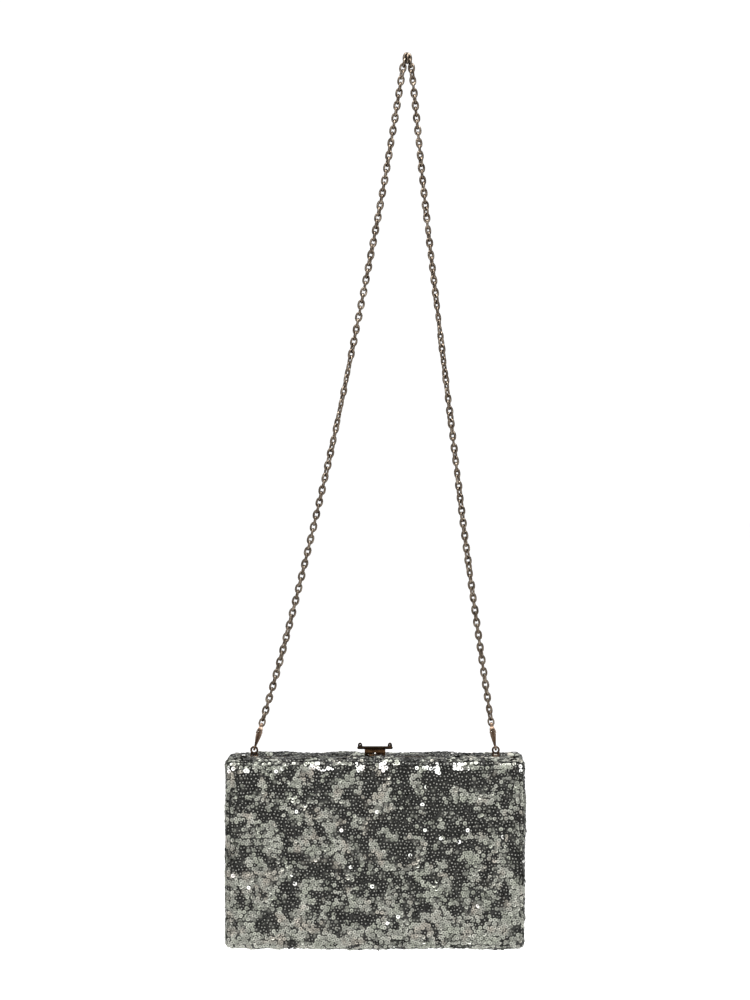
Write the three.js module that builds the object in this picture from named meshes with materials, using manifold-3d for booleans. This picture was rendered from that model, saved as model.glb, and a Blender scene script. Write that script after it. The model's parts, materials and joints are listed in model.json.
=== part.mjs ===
// Evening bag: a hard box clutch under sequinned fabric. The front half opens forward on two hinges
// along the bottom, a sprung thumb catch holds it shut, and one chain strap carries it by two snap hooks.
// Millimetres, +Z up, the front faces -Y. The origin is the strap's highest point, on the chain's middle.
import * as THREE from 'three';
import { mergeVertices } from 'three/addons/utils/BufferGeometryUtils.js';
import Module from 'manifold-3d';

const wasm = await Module();
wasm.setup();

// The bag as a whole
const bagWidth = 200;
const bagHeight = 127;
const bagDepth = 46;
const bagCorner = 7.5; // corner seen from the front, and a little more than the rounding of the edges
const strapDrop = 472.5; // strap's highest point down to the bag's top
const bagShift = -21.8; // the bag hangs with its middle left of the strap's highest point

// Layers of each half, as insets from the side walls and from the face
const trayStart = 3.6; // parting plane to the rim of every layer
const cover = { side: 0, face: 0, thickness: 1.1 };
const shell = { side: 1.4, face: 3.7, thickness: 1.6 };
const lining = { side: 3.3, face: 5.6, thickness: 0.8 };
const padding = { halfWidth: 91, halfHeight: 54.5, corner: 6, front: 21.6, thickness: 2, edge: 0.7 };

// Frames: one flat metal ring on each side of the parting plane
const frame = { inset: 1.5, band: 4.5, corner: 6, gap: 0.3, thickness: 3 };
const frameTop = bagHeight / 2 - frame.inset;
const frameMiddle = frame.gap + frame.thickness / 2;
const frameBack = frame.gap + frame.thickness;

// Bottom hinges, whose axis runs along X in the parting plane at the frames' lower edge
const hinge = {
  places: [-60, 60],
  z: -frameTop,
  halfLength: 8,
  knuckle: 1.4,
  bore: 0.8,
  pin: 0.6,
  split: 2.85, // half the front knuckle's share of the length, with its clearance
  sideGap: 0.15,
  leafNear: 0.35,
  leafFar: 1.35,
  leafFoot: 1.75,
  leafTop: 4.4,
  rivetX: 5,
  rivetZ: 3.1,
  rivet: 0.6,
};

// Thumb catch, on top of the frames
const latch = {
  halfWidth: 7,
  pinZ: frameTop + 3,
  pinY: frameMiddle,
  pin: 0.55,
  bore: 0.65,
  knuckle: 1.35,
  earIn: 4.5,
  earTop: frameTop + 4.2,
  noseZ: frameTop + 2.6,
  plateZ: frameTop + 4.7,
  barZ: frameTop + 5.7,
  barThickness: 1.4,
  barHalf: 11.9,
  barFront: -3,
  barBack: 2.1,
  knobX: 10.3,
  knob: 1.35,
};
const screw = { shank: 0.8, hole: 0.9, head: 1.3, headHeight: 0.9, clear: 0.1 };
const catchPlate = { halfWidth: 5.5, tabHalf: 3.5, screwX: 4.5, tabTop: frameTop + 2.3 };
const latchScrewX = 5.8;
const coilSpring = { wireRadius: 0.2, coilRadius: 0.95, length: 3.4, turns: 4 };
const footing = { front: 0.5, back: 3.1 }; // where the bracket and the catch plate sit on their frames

// Eyelets on the rear frame, for the snap hooks
const eyelet = { x: 81.5, ring: 2.1, wire: 0.42, rise: 4.8, stem: 0.75, shank: 0.7, shankHole: 0.8 };
const eyeletFoot = { radius: 1.5, height: 0.8, stretch: 1.5 };

// Snap hooks, each in the plane of Y and its strand; heights are measured from the middle of the bow
const hook = {
  thinnest: 0.8, // half the thickness at the bow and at the eye
  bulge: 1.3, // how much each side swells between them
  inner: 1.8,
  outer: 3.1,
  shoulder: 9.5,
  windowTop: 9,
  eyeZ: 14.3,
  eyeHole: 1.1,
  eyeOuter: 2.1,
  pivotY: -2.45,
  pivotZ: 10.3,
  pin: 0.35,
  pinHole: 0.45,
  gateFoot: 0.6,
  gateHalf: 0.7,
  gateEnd: 0.9,
  slotHalf: 0.85,
  slotTop: 11.8,
  bowRise: 0.5, // the eyelet's wire hangs this far below the middle of the bow
};
const hookLean = { left: 16.3, right: -9.6 }; // degrees from upright, towards the middle
const endRing = { radius: 1.95, wire: 0.4, stretch: 1.3, z: 16.6 };

// Strap: the chain's route in its own plane, from the left end ring over the top to the right one
const strapWidth = 3;
const strapRoute = [
  [-97, -447.4], [-84, -402], [-66, -330], [-49, -256], [-33, -178], [-18, -100], [-9.5, -50],
  [-5, -22], [-3, -9], [-2.2, -2.5], [0, 0], [2.2, -2.5], [2.8, -9], [4.2, -22],
  [7, -50], [12, -100], [21, -178], [30.5, -256], [39.5, -330], [49.5, -402], [56, -446.9],
];
const strapStepsPerPoint = 4;

// Fabric inside
const pocket = { halfWidth: 55, bottom: -50, top: 20, near: 13.2, far: 16.3, cloth: 0.8 };
const gusset = { wallX: 95.4, foldX: 84.6, cloth: 1.2, halfDepth: 9.5, bottom: -56.5, top: 54 };

const colours = {
  chain: { color: 0x6e6259, roughness: 0.35, metalness: 1 },
  fitting: { color: 0x7a6250, roughness: 0.35, metalness: 1 },
  frameMetal: { color: 0x8a6f4c, roughness: 0.4, metalness: 1 },
  sequin: { color: 0x77776f, roughness: 0.4, metalness: 0.4 },
  board: { color: 0x9a9184, roughness: 0.9, metalness: 0 },
  foam: { color: 0xd8d4c8, roughness: 1, metalness: 0 },
  satin: { color: 0x2b2a2c, roughness: 0.5, metalness: 0 },
  steel: { color: 0xa9a6a0, roughness: 0.3, metalness: 1 },
};

// A closed geometry as a solid that can be joined and cut.
function toSolid(geometry) {
  const bare = geometry.clone();
  bare.deleteAttribute('normal');
  bare.deleteAttribute('uv');
  const merged = mergeVertices(bare, 1e-4);
  return new wasm.Manifold(new wasm.Mesh({
    numProp: 3,
    vertProperties: merged.attributes.position.array,
    triVerts: new Uint32Array(merged.index.array),
  }));
}

function toGeometry(solid) {
  const mesh = solid.getMesh();
  const geometry = new THREE.BufferGeometry();
  geometry.setAttribute('position', new THREE.BufferAttribute(mesh.vertProperties, 3));
  geometry.setIndex(new THREE.BufferAttribute(mesh.triVerts, 1));
  geometry.computeVertexNormals();
  return geometry;
}

function join(first, ...others) {
  return toGeometry(others.reduce((sum, next) => sum.add(toSolid(next)), toSolid(first)));
}

function cut(first, ...others) {
  return toGeometry(others.reduce((rest, next) => rest.subtract(toSolid(next)), toSolid(first)));
}

function block(x0, x1, y0, y1, z0, z1) {
  const geometry = new THREE.BoxGeometry(x1 - x0, y1 - y0, z1 - z0);
  return geometry.translate((x0 + x1) / 2, (y0 + y1) / 2, (z0 + z1) / 2);
}

// A round bar from one coordinate to another along an axis, at the other two coordinates given in X, Y, Z order.
function rod(axis, radius, from, to, place, sides = 12) {
  const geometry = new THREE.CylinderGeometry(radius, radius, to - from, sides);
  const middle = (from + to) / 2;
  const [a, b] = place;
  if (axis === 'x') {
    return geometry.rotateZ(Math.PI / 2).translate(middle, a, b);
  }
  if (axis === 'y') {
    return geometry.translate(a, middle, b);
  }
  return geometry.rotateX(Math.PI / 2).translate(a, b, middle);
}

function roundedOutline(halfWidth, halfHeight, radius) {
  const shape = new THREE.Shape();
  const x = halfWidth - radius;
  const y = halfHeight - radius;
  shape.absarc(x, y, radius, 0, Math.PI / 2);
  shape.absarc(-x, y, radius, Math.PI / 2, Math.PI);
  shape.absarc(-x, -y, radius, Math.PI, 1.5 * Math.PI);
  shape.absarc(x, -y, radius, 1.5 * Math.PI, 2 * Math.PI);
  return shape;
}

// A flat outline stood upright, its thickness running from y0 to y1.
function uprightPlate(outline, y0, y1, edge = 0) {
  const geometry = new THREE.ExtrudeGeometry(outline, {
    depth: y1 - y0 - 2 * edge,
    bevelEnabled: edge > 0,
    bevelThickness: edge,
    bevelSize: edge,
    bevelOffset: -edge,
    bevelSegments: 3,
    curveSegments: 2,
  });
  return geometry.rotateX(Math.PI / 2).translate(0, y1 - edge, 0);
}

// A box with rounded corners and edges, inset from the bag's side walls and faces.
function pillow(side, face) {
  const corner = bagCorner - side;
  const outline = roundedOutline(bagWidth / 2 - side, bagHeight / 2 - side, corner);
  const halfDepth = bagDepth / 2 - face;
  return uprightPlate(outline, -halfDepth, halfDepth, corner - 0.5);
}

// One layer of the rear half: an open tray from the rim to the face.
function tray(layer) {
  const reach = bagWidth;
  const rearHalf = block(-reach, reach, trayStart, reach, -reach, reach);
  const outside = toSolid(pillow(layer.side, layer.face)).intersect(toSolid(rearHalf));
  const inside = toSolid(pillow(layer.side + layer.thickness, layer.face + layer.thickness));
  return toGeometry(outside.subtract(inside));
}

function paddingPad() {
  const outline = roundedOutline(padding.halfWidth, padding.halfHeight, padding.corner);
  return uprightPlate(outline, padding.front - padding.thickness, padding.front, padding.edge);
}

function screwHole(x, fromZ, toZ) {
  return rod('z', screw.hole, fromZ, toZ, [x, frameMiddle]);
}

// The rear frame's ring with its hinge recesses and rivet holes, shared by both frames.
function frameRing() {
  const halfWidth = bagWidth / 2 - frame.inset;
  const outline = roundedOutline(halfWidth, frameTop, frame.corner);
  outline.holes.push(roundedOutline(halfWidth - frame.band, frameTop - frame.band, frame.corner / 2));
  const cuts = [];
  for (const x of hinge.places) {
    const end = hinge.halfLength + 0.3;
    const recessTop = hinge.z + hinge.leafTop + 0.3;
    cuts.push(block(x - end, x + end, 0, hinge.leafFar + 0.3, hinge.z - 1, recessTop));
    for (const side of [-1, 1]) {
      const place = [x + side * hinge.rivetX, hinge.z + hinge.rivetZ];
      cuts.push(rod('y', hinge.rivet + 0.1, 0, frameBack + 1, place));
    }
  }
  return cut(uprightPlate(outline, frame.gap, frameBack), ...cuts);
}

function rearFrame() {
  const below = frameTop - frame.band - 1;
  const above = frameTop + 1;
  const eyeletHole = (x) => rod('z', eyelet.shankHole, frameTop - 2.8, above, [x, frameMiddle]);
  return cut(
    frameRing(),
    screwHole(-latchScrewX, below, above),
    screwHole(latchScrewX, below, above),
    eyeletHole(-eyelet.x),
    eyeletHole(eyelet.x),
  );
}

function frontFrame() {
  const below = frameTop - frame.band - 1;
  const above = frameTop + 1;
  const holes = [-catchPlate.screwX, catchPlate.screwX].map((x) => screwHole(x, below, above));
  return cut(frameRing(), ...holes).rotateZ(Math.PI);
}

// A hinge leaf on the rear side; its knuckles fill the stretches given along X.
function hingeLeaf(stretches) {
  const { halfLength, leafNear, leafFar, leafFoot, leafTop } = hinge;
  const parts = stretches.flatMap(([from, to]) => [
    block(from, to, leafNear, leafFar, 0, leafFoot + 0.1),
    rod('x', hinge.knuckle, from, to, [0, 0]),
  ]);
  const leaf = join(block(-halfLength, halfLength, leafNear, leafFar, leafFoot, leafTop), ...parts);
  const rivetHoles = [-1, 1].map((side) => (
    rod('y', hinge.rivet + 0.1, 0, leafFar + 1, [side * hinge.rivetX, hinge.rivetZ])
  ));
  return cut(leaf, rod('x', hinge.bore, -halfLength - 1, halfLength + 1, [0, 0]), ...rivetHoles);
}

function rearLeaf() {
  const inner = hinge.split + hinge.sideGap;
  return hingeLeaf([[-hinge.halfLength, -inner], [inner, hinge.halfLength]]);
}

function frontLeaf() {
  const end = hinge.split - hinge.sideGap;
  return hingeLeaf([[-end, end]]).rotateZ(Math.PI);
}

function hingeRivet() {
  return rod('y', hinge.rivet, hinge.leafNear + 0.05, frameBack - 0.05, [0, 0], 10);
}

// A screw driven up through a frame, with a slotted head under it.
function upwardScrew(top) {
  const headTop = frameTop - frame.band - screw.clear;
  const headBottom = headTop - screw.headHeight;
  const body = join(
    rod('z', screw.shank, headTop - 0.2, top, [0, 0], 10),
    rod('z', screw.head, headBottom, headTop, [0, 0]),
  );
  return cut(body, block(-2, 2, -0.2, 0.2, headBottom - 1, headBottom + 0.4));
}

// Bracket of the thumb catch: a base with two ears for the pin.
function latchBracket() {
  const { front, back } = footing;
  const ear = (side) => {
    const xs = [side * latch.earIn, side * latch.halfWidth].sort((a, b) => a - b);
    return block(xs[0], xs[1], front, back, frameTop + 0.1, latch.earTop);
  };
  const base = block(-latch.halfWidth, latch.halfWidth, front, back, frameTop + 0.1, frameTop + 1.3);
  return cut(
    join(base, ear(-1), ear(1)),
    rod('x', latch.bore, -latch.halfWidth - 1, latch.halfWidth + 1, [latch.pinY, latch.pinZ]),
    screwHole(-latchScrewX, frameTop - 1, frameTop + 1.9),
    screwHole(latchScrewX, frameTop - 1, frameTop + 1.9),
  );
}

class Helix extends THREE.Curve {
  constructor(radius, length, turns) {
    super();
    this.radius = radius;
    this.length = length;
    this.turns = turns;
  }

  getPoint(t) {
    const angle = 2 * Math.PI * this.turns * t;
    const x = this.length * (t - 0.5);
    return new THREE.Vector3(x, this.radius * Math.cos(angle), this.radius * Math.sin(angle));
  }
}

// Coil that returns the thumb catch, wound on its pin.
function latchSpring() {
  const { wireRadius, coilRadius, length, turns } = coilSpring;
  const wire = new THREE.Shape().absarc(0, 0, wireRadius, 0, 2 * Math.PI);
  const path = new Helix(coilRadius, length, turns);
  const coil = new THREE.ExtrudeGeometry(wire, { steps: 44, curveSegments: 3, extrudePath: path });
  return coil.translate(0, latch.pinY, latch.pinZ);
}

// Lever: two knuckles on the pin, a plate over the bracket, and an apron in front that hides the catch.
function latchLever() {
  const { halfWidth, pinY, pinZ, plateZ, barZ, barFront, noseZ } = latch;
  const top = barZ - 0.1;
  const knuckleFrom = 2.2;
  const knuckleTo = 4.2;
  const parts = [-1, 1].flatMap((side) => {
    const xs = [side * knuckleFrom, side * knuckleTo].sort((a, b) => a - b);
    return [
      rod('x', latch.knuckle, xs[0], xs[1], [pinY, pinZ]),
      block(xs[0], xs[1], pinY - 0.6, pinY + 0.6, pinZ + 0.9, plateZ + 0.1),
    ];
  });
  const apron = block(-halfWidth, halfWidth, barFront, barFront + 0.8, noseZ, top);
  const lever = join(block(-halfWidth, halfWidth, barFront, 2, plateZ, top), apron, ...parts);
  return cut(lever, rod('x', latch.bore, -halfWidth, halfWidth, [pinY, pinZ]));
}

// Bar that the thumb pushes back, with an upturned knob at each end.
function thumbBar() {
  const { barHalf, barFront, barBack, barZ, barThickness, knobX, knob } = latch;
  const middleY = (barFront + barBack) / 2;
  const halfDepth = (barBack - barFront) / 2;
  const outline = roundedOutline(barHalf, halfDepth, 1.8);
  const bar = new THREE.ExtrudeGeometry(outline, {
    depth: barThickness,
    bevelEnabled: false,
    curveSegments: 2,
  });
  bar.translate(0, middleY, barZ);
  const knobs = [-knobX, knobX].map((x) => (
    new THREE.SphereGeometry(knob, 12, 8).translate(x, middleY, barZ + barThickness + 1.2)
  ));
  return join(bar, ...knobs);
}

// Plate on the front frame whose tab the catch drops over.
function catchPlateGeometry() {
  const { halfWidth, tabHalf, tabTop, screwX } = catchPlate;
  const plate = join(
    block(-halfWidth, halfWidth, footing.front, footing.back, frameTop + 0.1, frameTop + 1),
    block(-tabHalf, tabHalf, 0.9, 1.9, frameTop + 0.5, tabTop),
  );
  const holes = [-screwX, screwX].map((x) => screwHole(x, frameTop - 1, frameTop + 2));
  return cut(plate, ...holes).rotateZ(Math.PI);
}

// Ring that faces the front, on a stem and an oval foot, with a shank down into the frame.
function eyeletGeometry() {
  const ringZ = frameTop + eyelet.rise;
  const ring = new THREE.TorusGeometry(eyelet.ring, eyelet.wire, 8, 20);
  ring.rotateX(Math.PI / 2).translate(0, 0, ringZ);
  const { radius, height, stretch } = eyeletFoot;
  const foot = new THREE.CylinderGeometry(radius, radius, height, 16).rotateX(Math.PI / 2);
  foot.scale(stretch, 1, 1).translate(0, 0, frameTop + 0.5);
  return join(
    ring,
    rod('z', eyelet.stem, frameTop + 0.5, ringZ - eyelet.ring, [0, 0], 8),
    foot,
    rod('z', eyelet.shank, frameTop - 2.5, frameTop + 0.5, [0, 0], 8),
  );
}

// Half the hook's thickness at a height: a lens, thin at the bow and at the eye.
function hookHalfThickness(z) {
  const share = THREE.MathUtils.clamp(z / hook.eyeZ, 0, 1);
  return hook.thinnest + hook.bulge * Math.sin(Math.PI * share) ** 1.5;
}

// An outline drawn in Y and Z, its thickness centred on X.
function sideOutline(shape, halfThickness) {
  const geometry = new THREE.ExtrudeGeometry(shape, {
    depth: 2 * halfThickness,
    bevelEnabled: false,
    curveSegments: 4,
  });
  const turn = new THREE.Matrix4().makeBasis(
    new THREE.Vector3(0, 1, 0),
    new THREE.Vector3(0, 0, 1),
    new THREE.Vector3(1, 0, 0),
  );
  return geometry.translate(0, 0, -halfThickness).applyMatrix4(turn);
}

// Hook: a bow, a straight back, a forked head for the gate, and the eye for the chain's end ring.
function snapHook() {
  const { inner, outer, shoulder, windowTop, eyeZ, eyeOuter, eyeHole, pivotY, pivotZ } = hook;
  const shape = new THREE.Shape();
  shape.moveTo(outer, 0);
  shape.lineTo(outer, shoulder);
  shape.quadraticCurveTo(outer, eyeZ - 1.6, eyeOuter * 0.9, eyeZ - 0.9);
  shape.absarc(0, eyeZ, eyeOuter, -0.4, Math.PI + 0.4);
  shape.quadraticCurveTo(-outer, eyeZ - 1.6, -outer, shoulder);
  shape.lineTo(-outer, 0);
  shape.absarc(0, 0, outer, Math.PI, 2 * Math.PI);
  const window = new THREE.Path();
  window.moveTo(inner, 0);
  window.lineTo(inner, windowTop - 0.8);
  window.quadraticCurveTo(inner, windowTop, inner - 0.8, windowTop);
  window.lineTo(-inner, windowTop);
  window.lineTo(-inner, 0);
  window.absarc(0, 0, inner, Math.PI, 2 * Math.PI);
  const eye = new THREE.Path().absarc(0, eyeZ, eyeHole, 0, 2 * Math.PI);
  shape.holes.push(window, eye);
  const body = sideOutline(shape, 1);
  const points = body.attributes.position;
  for (let i = 0; i < points.count; i += 1) {
    points.setX(i, points.getX(i) * hookHalfThickness(points.getZ(i)));
  }
  const wide = hook.thinnest + hook.bulge + 0.2;
  return cut(
    body,
    block(-wide, wide, -outer - 0.3, -inner + 0.1, hook.gateFoot - 0.25, windowTop + 0.1),
    block(-hook.slotHalf, hook.slotHalf, -outer - 0.5, -inner + 0.6, windowTop - 0.1, hook.slotTop),
    rod('x', hook.pinHole, -wide, wide, [pivotY, pivotZ]),
  );
}

// Gate: closes the hook's open side and turns inward on its pin.
function hookGate() {
  const { inner, outer, gateHalf, gateFoot, gateEnd, pivotY, pivotZ, pinHole } = hook;
  const gate = join(
    block(-gateHalf, gateHalf, -outer, -inner, gateFoot, pivotZ),
    rod('x', gateEnd, -gateHalf, gateHalf, [pivotY, pivotZ]),
  );
  return cut(gate, rod('x', pinHole, -gateHalf - 1, gateHalf + 1, [pivotY, pivotZ]));
}

function gatePin() {
  const end = hookHalfThickness(hook.pivotZ) - 0.1;
  return rod('x', hook.pin, -end, end, [hook.pivotY, hook.pivotZ], 10);
}

// Leaf that presses the gate shut, from the window's top corner down to the gate.
function gateSpring() {
  const leaf = new THREE.Shape();
  const top = hook.windowTop - 0.15;
  const tipY = -hook.inner + 0.12;
  leaf.moveTo(0.9, top);
  leaf.quadraticCurveTo(-0.9, top - 0.1, tipY, top - 2.4);
  leaf.lineTo(tipY + 0.3, top - 2.5);
  leaf.quadraticCurveTo(-0.7, top - 0.5, 0.9, top - 0.3);
  return sideOutline(leaf, 0.5);
}

function endRingGeometry() {
  const ring = new THREE.TorusGeometry(endRing.radius, endRing.wire, 8, 16);
  return ring.rotateX(Math.PI / 2).scale(1, 1, endRing.stretch).translate(0, 0, endRing.z);
}

// A curve whose steps follow its points, so the tight turn at the top gets as many as a long straight.
class StrapCurve extends THREE.CatmullRomCurve3 {
  getPointAt(u) {
    return this.getPoint(u);
  }

  getTangentAt(u) {
    return this.getTangent(u);
  }
}

function chainStrap() {
  const path = new StrapCurve(strapRoute.map(([x, z]) => new THREE.Vector3(x, 0, z)));
  const section = new THREE.Shape().absarc(0, 0, strapWidth / 2, 0, 2 * Math.PI);
  const steps = strapStepsPerPoint * (strapRoute.length - 1);
  return new THREE.ExtrudeGeometry(section, { steps, curveSegments: 4, extrudePath: path });
}

// Pocket on the rear lining, open along its top.
function slipPocket() {
  const { halfWidth, bottom, top, near, far, cloth } = pocket;
  const inside = halfWidth - cloth;
  return cut(
    block(-halfWidth, halfWidth, near, far, bottom, top),
    block(-inside, inside, near + cloth, far + 1, bottom + cloth, top + 1),
  );
}

// Folded side gusset: a V in plan that unfolds as the front half opens.
function gussetGeometry(side) {
  const { wallX, foldX, cloth, halfDepth, bottom, top } = gusset;
  const plan = new THREE.Shape();
  plan.moveTo(wallX, halfDepth);
  plan.lineTo(foldX, 0);
  plan.lineTo(wallX, -halfDepth);
  plan.lineTo(wallX - cloth, -halfDepth);
  plan.lineTo(foldX - cloth, 0);
  plan.lineTo(wallX - cloth, halfDepth);
  const geometry = new THREE.ExtrudeGeometry(plan, { depth: top - bottom, bevelEnabled: false });
  geometry.translate(0, 0, bottom);
  return side > 0 ? geometry : geometry.rotateZ(Math.PI);
}

function addPiece(parent, name, geometry, finish, place = [0, 0, 0]) {
  const mesh = new THREE.Mesh(geometry, new THREE.MeshStandardMaterial(finish));
  mesh.name = name;
  mesh.position.set(...place);
  parent.add(mesh);
}

function addHalf(bag, name, turn) {
  const layerFinish = { cover: colours.sequin, shell: colours.board, lining: colours.satin };
  for (const [layerName, layer] of Object.entries({ cover, shell, lining })) {
    addPiece(bag, `${name}_${layerName}`, tray(layer).rotateZ(turn), layerFinish[layerName]);
  }
  addPiece(bag, `${name}_padding`, paddingPad().rotateZ(turn), colours.foam);
}

function addHinges(bag) {
  hinge.places.forEach((x, index) => {
    const side = index ? 'right' : 'left';
    const place = [x, 0, hinge.z];
    addPiece(bag, `${side}_rear_leaf`, rearLeaf(), colours.frameMetal, place);
    addPiece(bag, `${side}_front_leaf`, frontLeaf(), colours.frameMetal, place);
    const pin = rod('x', hinge.pin, -hinge.halfLength, hinge.halfLength, [0, 0], 10);
    addPiece(bag, `${side}_hinge_pin`, pin, colours.steel, place);
    for (const [rivetSide, sign] of [['a', -1], ['b', 1]]) {
      const at = [x + sign * hinge.rivetX, 0, hinge.z + hinge.rivetZ];
      addPiece(bag, `${side}_rear_rivet_${rivetSide}`, hingeRivet(), colours.steel, at);
      addPiece(bag, `${side}_front_rivet_${rivetSide}`, hingeRivet().rotateZ(Math.PI), colours.steel, at);
    }
  });
}

function addCatch(bag) {
  addPiece(bag, 'latch_bracket', latchBracket(), colours.frameMetal);
  const pin = rod('x', latch.pin, -latch.halfWidth, latch.halfWidth, [latch.pinY, latch.pinZ]);
  addPiece(bag, 'latch_pin', pin, colours.steel);
  addPiece(bag, 'latch_spring', latchSpring(), colours.steel);
  addPiece(bag, 'latch_lever', latchLever(), colours.frameMetal);
  addPiece(bag, 'thumb_bar', thumbBar(), colours.fitting);
  addPiece(bag, 'catch_plate', catchPlateGeometry(), colours.frameMetal);
  for (const [side, sign] of [['left', -1], ['right', 1]]) {
    const rearPlace = [sign * latchScrewX, frameMiddle, 0];
    addPiece(bag, `${side}_latch_screw`, upwardScrew(frameTop + 1.7), colours.steel, rearPlace);
    const frontPlace = [sign * catchPlate.screwX, -frameMiddle, 0];
    addPiece(bag, `${side}_catch_screw`, upwardScrew(frameTop + 0.9), colours.steel, frontPlace);
  }
}

function makeBag() {
  const bag = new THREE.Group();
  bag.position.set(bagShift, -frameMiddle, -strapDrop - bagHeight / 2);
  addHalf(bag, 'rear', 0);
  addHalf(bag, 'front', Math.PI);
  addPiece(bag, 'rear_frame', rearFrame(), colours.frameMetal);
  addPiece(bag, 'front_frame', frontFrame(), colours.frameMetal);
  addPiece(bag, 'slip_pocket', slipPocket(), colours.satin);
  addHinges(bag);
  addCatch(bag);
  for (const [side, sign] of [['left', -1], ['right', 1]]) {
    addPiece(bag, `${side}_eyelet`, eyeletGeometry(), colours.fitting, [sign * eyelet.x, frameMiddle, 0]);
    addPiece(bag, `${side}_gusset`, gussetGeometry(sign), colours.satin);
  }
  return bag;
}

// A snap hook with its gate and end ring, hung on the eyelet's wire and leaning along its strand.
function makeHook(side, sign) {
  const hanger = new THREE.Group();
  const wireZ = -strapDrop - frame.inset + eyelet.rise + eyelet.ring;
  const lean = THREE.MathUtils.degToRad(hookLean[side]);
  const stock = (hook.inner + hook.outer) / 2 - hook.bowRise; // keeps the bow's stock in the ring's middle
  hanger.position.set(bagShift + sign * eyelet.x + stock * Math.sin(lean), 0, wireZ);
  hanger.rotation.y = lean;
  const place = [0, 0, hook.bowRise];
  addPiece(hanger, `${side}_snap_hook`, snapHook(), colours.fitting, place);
  addPiece(hanger, `${side}_gate`, hookGate(), colours.fitting, place);
  addPiece(hanger, `${side}_gate_pin`, gatePin(), colours.steel, place);
  addPiece(hanger, `${side}_gate_spring`, gateSpring(), colours.steel, place);
  addPiece(hanger, `${side}_end_ring`, endRingGeometry(), colours.chain, place);
  return hanger;
}

const group = new THREE.Group();
group.add(makeBag());
group.add(makeHook('left', -1));
group.add(makeHook('right', 1));
addPiece(group, 'chain_strap', chainStrap(), colours.chain);

export default group;
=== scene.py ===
import json
import math
import bmesh
import bpy
import numpy as np
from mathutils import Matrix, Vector

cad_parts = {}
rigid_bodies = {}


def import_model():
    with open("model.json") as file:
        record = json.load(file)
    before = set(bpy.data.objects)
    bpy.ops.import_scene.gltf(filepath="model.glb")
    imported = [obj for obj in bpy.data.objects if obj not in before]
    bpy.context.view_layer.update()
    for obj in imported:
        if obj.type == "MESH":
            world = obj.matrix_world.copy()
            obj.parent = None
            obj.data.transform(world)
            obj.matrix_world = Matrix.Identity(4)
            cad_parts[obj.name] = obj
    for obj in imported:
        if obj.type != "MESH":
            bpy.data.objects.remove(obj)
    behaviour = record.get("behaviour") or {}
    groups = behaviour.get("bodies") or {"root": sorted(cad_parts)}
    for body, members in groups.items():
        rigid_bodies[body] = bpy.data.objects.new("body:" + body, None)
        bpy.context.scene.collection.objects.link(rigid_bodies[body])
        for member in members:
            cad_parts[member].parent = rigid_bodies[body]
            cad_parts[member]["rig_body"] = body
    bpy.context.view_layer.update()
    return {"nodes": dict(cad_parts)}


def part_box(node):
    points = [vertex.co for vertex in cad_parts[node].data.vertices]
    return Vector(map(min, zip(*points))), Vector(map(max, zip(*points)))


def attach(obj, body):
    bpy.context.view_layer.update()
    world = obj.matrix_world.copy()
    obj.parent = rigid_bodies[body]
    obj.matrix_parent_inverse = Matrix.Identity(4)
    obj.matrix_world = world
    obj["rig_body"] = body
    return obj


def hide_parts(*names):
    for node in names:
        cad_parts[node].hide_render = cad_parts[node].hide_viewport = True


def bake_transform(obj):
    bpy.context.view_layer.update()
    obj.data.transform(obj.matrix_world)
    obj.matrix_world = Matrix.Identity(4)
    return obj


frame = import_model()
nodes = frame["nodes"]
scene = bpy.context.scene
mm = 0.001
print("frame loaded:", len(nodes), "nodes")


def corners(name):
    # Lowest and highest corner of a node, in millimetres.
    low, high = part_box(name)
    return np.array(low) / mm, np.array(high) / mm


frontLow, frontHigh = corners("front_cover")
rearLow, rearHigh = corners("rear_cover")
bagMiddle = np.array([
    (frontLow[0] + frontHigh[0]) / 2,
    (frontHigh[1] + rearLow[1]) / 2,
    (frontLow[2] + frontHigh[2]) / 2,
])
bag = {
    "halfWidth": (frontHigh[0] - frontLow[0]) / 2,
    "halfHeight": (frontHigh[2] - frontLow[2]) / 2,
    "halfDepth": (rearHigh[1] - frontLow[1]) / 2,
    "start": (rearLow[1] - frontHigh[1]) / 2,
}

view = {"lens": 72, "place": (-0.0218, -1.35, -0.3005)}
camera = bpy.data.objects.new("camera", bpy.data.cameras.new("camera"))
camera.data.lens = view["lens"]
camera.location = view["place"]
camera.rotation_euler = (math.pi / 2, 0, 0)
scene.collection.objects.link(camera)
scene.camera = camera
scene.view_settings.view_transform = "Standard"
scene.view_settings.look = "None"


def makePiece(name, points, faces, finish, fields=None):
    # points: rows of x, y, z in millimetres; faces: one whole-number array for each count of corners.
    mesh = bpy.data.meshes.new(name)
    counts = np.concatenate([np.full(len(group), group.shape[1]) for group in faces])
    around = np.concatenate([group.ravel() for group in faces])
    mesh.vertices.add(len(points))
    mesh.vertices.foreach_set("co", (points * mm).astype(np.float32).ravel())
    mesh.loops.add(len(around))
    mesh.loops.foreach_set("vertex_index", around.astype(np.int32))
    mesh.polygons.add(len(counts))
    mesh.polygons.foreach_set("loop_start", (np.cumsum(counts) - counts).astype(np.int32))
    mesh.polygons.foreach_set("use_smooth", np.ones(len(counts), bool))
    mesh.update(calc_edges=True)
    for field, values in (fields or {}).items():
        mesh.attributes.new(field, "FLOAT", "POINT").data.foreach_set("value", values.astype(np.float32))
    mesh.materials.append(finish)
    made = bpy.data.objects.new(name, mesh)
    scene.collection.objects.link(made)
    return made


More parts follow.
